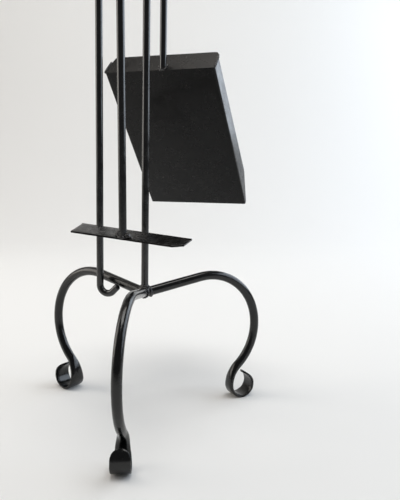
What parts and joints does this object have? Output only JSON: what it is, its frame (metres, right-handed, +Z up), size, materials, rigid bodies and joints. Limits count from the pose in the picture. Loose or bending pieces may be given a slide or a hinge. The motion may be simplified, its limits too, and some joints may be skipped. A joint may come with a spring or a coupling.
{
  "type": "fireplace tool set",
  "caption": "Forged black iron stand with a post, scroll feet and hooks, holding a poker, an ash rake and a shovel that lift off.",
  "frame": {"origin": "middle of the whole set's footprint, on the floor", "axes": "+Z up along the post, -Y roughly towards the front leg"},
  "size_m": [0.3085, 0.4349, 0.813],
  "materials": {
    "black_iron": "satin black",
    "sheet_iron": "satin black sheet",
    "forged_iron": "hammered and waxed",
    "weld_bead": "lumpy weld under black paint"
  },
  "bodies": {
    "stand": {"post": "black_iron", "leg_front": "forged_iron", "leg_right": "forged_iron", "leg_left": "forged_iron", "hub_weld": "weld_bead", "hook_front": "black_iron", "hook_left": "black_iron", "hook_back": "black_iron", "hook_right": "black_iron", "hook_welds": "weld_bead", "carry_ring": "black_iron", "ring_weld": "weld_bead"},
    "poker": {"poker_rod": "black_iron", "poker_loop": "black_iron", "poker_weld": "weld_bead"},
    "rake": {"rake_rod": "black_iron", "rake_blade": "forged_iron", "rake_blade_weld": "weld_bead", "rake_loop": "black_iron", "rake_weld": "weld_bead"},
    "shovel": {"shovel_rod": "black_iron", "shovel_pan": "sheet_iron", "pan_corner_welds": "weld_bead", "shovel_pan_weld": "weld_bead", "shovel_loop": "black_iron", "shovel_weld": "weld_bead"}
  },
  "joints": [
    {"name": "poker_lift_off", "type": "slide", "parent": "stand", "child": "poker", "axis": [-0.6345, 0.3121, 0.7071], "range_m": [0, 0.15]},
    {"name": "rake_lift_off", "type": "slide", "parent": "stand", "child": "rake", "axis": [-0.3493, -0.6148, 0.7071], "range_m": [0, 0.15]},
    {"name": "shovel_lift_off", "type": "slide", "parent": "stand", "child": "shovel", "axis": [0.268, 0.6543, 0.7071], "range_m": [0, 0.15]}
  ]
}
